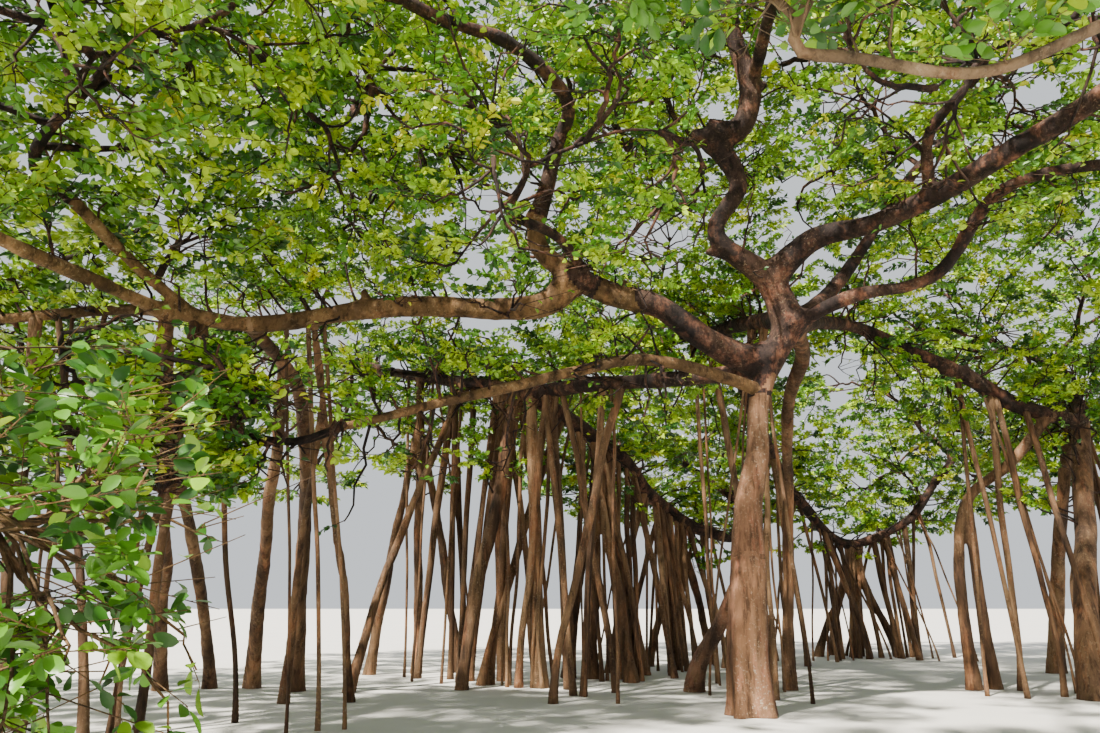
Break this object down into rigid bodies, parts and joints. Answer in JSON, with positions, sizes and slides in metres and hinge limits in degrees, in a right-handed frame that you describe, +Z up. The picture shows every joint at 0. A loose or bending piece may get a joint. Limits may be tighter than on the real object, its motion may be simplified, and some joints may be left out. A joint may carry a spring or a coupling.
{
  "type": "banyan tree",
  "caption": "Spreading banyan tree: a fluted trunk and crooked boughs carried by pillar roots under a broad, low crown.",
  "frame": {"origin": "middle of the trunk's flat cut at ground level", "axes": "+Z up; +Y away from the viewer of the picture; +X to the viewer's right"},
  "size_m": [30.9851, 31.7006, 13.8463],
  "materials": {
    "bark": "rough bark",
    "root_bark": "rough bark, paler",
    "foliage": "smooth leaves"
  },
  "bodies": {
    "root": {"bough_back": "bark", "bough_back_left": "bark", "bough_back_right": "bark", "bough_front": "bark", "bough_front_left": "bark", "bough_front_low": "bark", "bough_inner_left": "bark", "bough_inner_right": "bark", "bough_left_long": "bark", "bough_left_lower": "bark", "bough_left_rising": "bark", "bough_left_slender": "bark", "bough_left_upper": "bark", "bough_pale": "bark", "bough_right_lower": "bark", "bough_right_upper": "bark", "bough_sweep_left": "bark", "bough_sweep_right": "bark", "bough_top_right": "bark", "bough_up_lower": "bark", "bough_up_upper": "bark", "leaves_back": "foliage", "leaves_back_left": "foliage", "leaves_back_right": "foliage", "leaves_far": "foliage", "leaves_far_right": "foliage", "leaves_front": "foliage", "leaves_front_left": "foliage", "leaves_front_right": "foliage", "leaves_inner_left": "foliage", "leaves_inner_right": "foliage", "leaves_left": "foliage", "leaves_left_low": "foliage", "leaves_near_left": "foliage", "leaves_near_right": "foliage", "leaves_right": "foliage", "leaves_top": "foliage", "leaves_top_left": "foliage", "leaves_top_right": "foliage", "leaves_upper_left": "foliage", "pillar_back_group": "root_bark", "pillar_back_left_group": "root_bark", "pillar_back_right": "root_bark", "pillar_far_group": "root_bark", "pillar_far_left": "root_bark", "pillar_front_left": "root_bark", "pillar_front_right": "root_bark", "pillar_left_c": "root_bark", "pillar_left_forked": "root_bark", "pillar_left_pair": "root_bark", "pillar_middle_a": "root_bark", "pillar_middle_b": "root_bark", "pillar_middle_c": "root_bark", "pillar_middle_group": "root_bark", "pillar_right_double": "root_bark", "pillar_right_edge": "root_bark", "pillar_second": "root_bark", "pillar_slanting": "root_bark", "trunk": "bark", "trunk_leg": "bark"}
  },
  "joints": []
}
